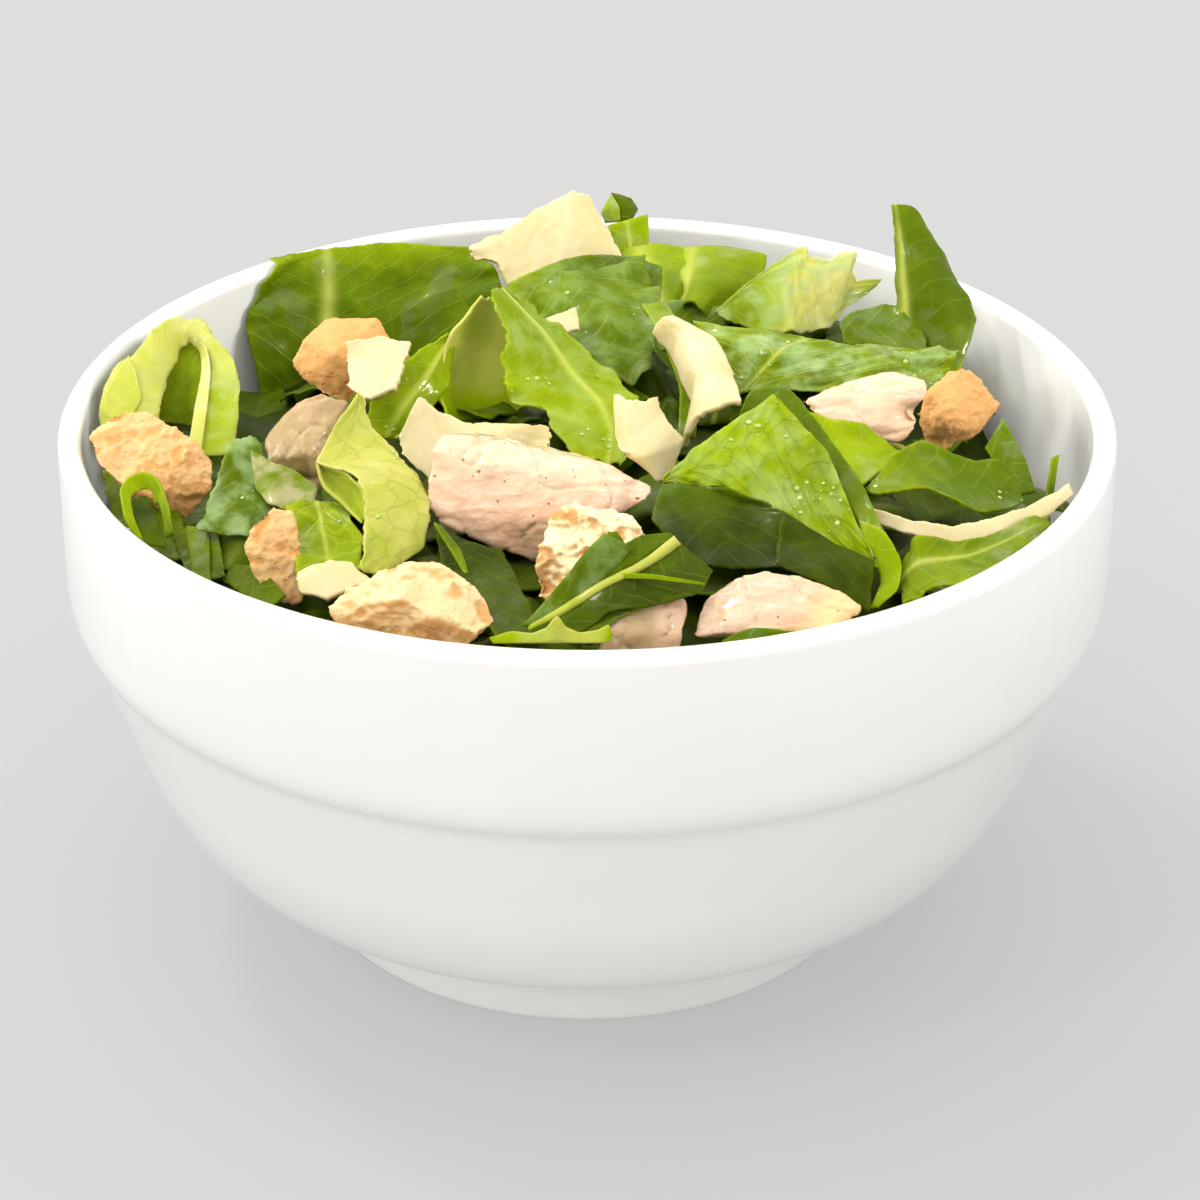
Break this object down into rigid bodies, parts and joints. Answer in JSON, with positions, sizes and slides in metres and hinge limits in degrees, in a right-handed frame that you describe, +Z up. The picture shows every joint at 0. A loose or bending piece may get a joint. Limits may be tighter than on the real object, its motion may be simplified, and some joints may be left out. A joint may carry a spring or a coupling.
{
  "type": "chicken caesar salad",
  "caption": "Chicken caesar salad of torn romaine, diced chicken, croutons and parmesan shavings, heaped in a white footed porcelain bowl.",
  "frame": {"origin": "centre of the foot's underside, on the table", "axes": "+Z up; +X to the right and +Y to the back of the dish as it is served"},
  "size_m": [0.14, 0.14, 0.0875],
  "materials": {
    "porcelain": "gloss",
    "romaine": "satin",
    "chicken": "satin",
    "crouton": "matte",
    "parmesan": "satin"
  },
  "bodies": {
    "root": {"bowl": "porcelain", "salad_heap": "romaine", "chicken_back_left": "chicken", "chicken_centre": "chicken", "chicken_front": "chicken", "chicken_front_right": "chicken", "chicken_right": "chicken", "crouton_back_left": "crouton", "crouton_centre": "crouton", "crouton_front": "crouton", "crouton_front_left": "crouton", "crouton_left": "crouton", "crouton_right": "crouton", "parmesan_back": "parmesan", "parmesan_chip": "parmesan", "parmesan_curved": "parmesan", "parmesan_front_left": "parmesan", "parmesan_left": "parmesan", "parmesan_middle": "parmesan", "parmesan_ribbon": "parmesan", "parmesan_upright": "parmesan"}
  },
  "joints": []
}
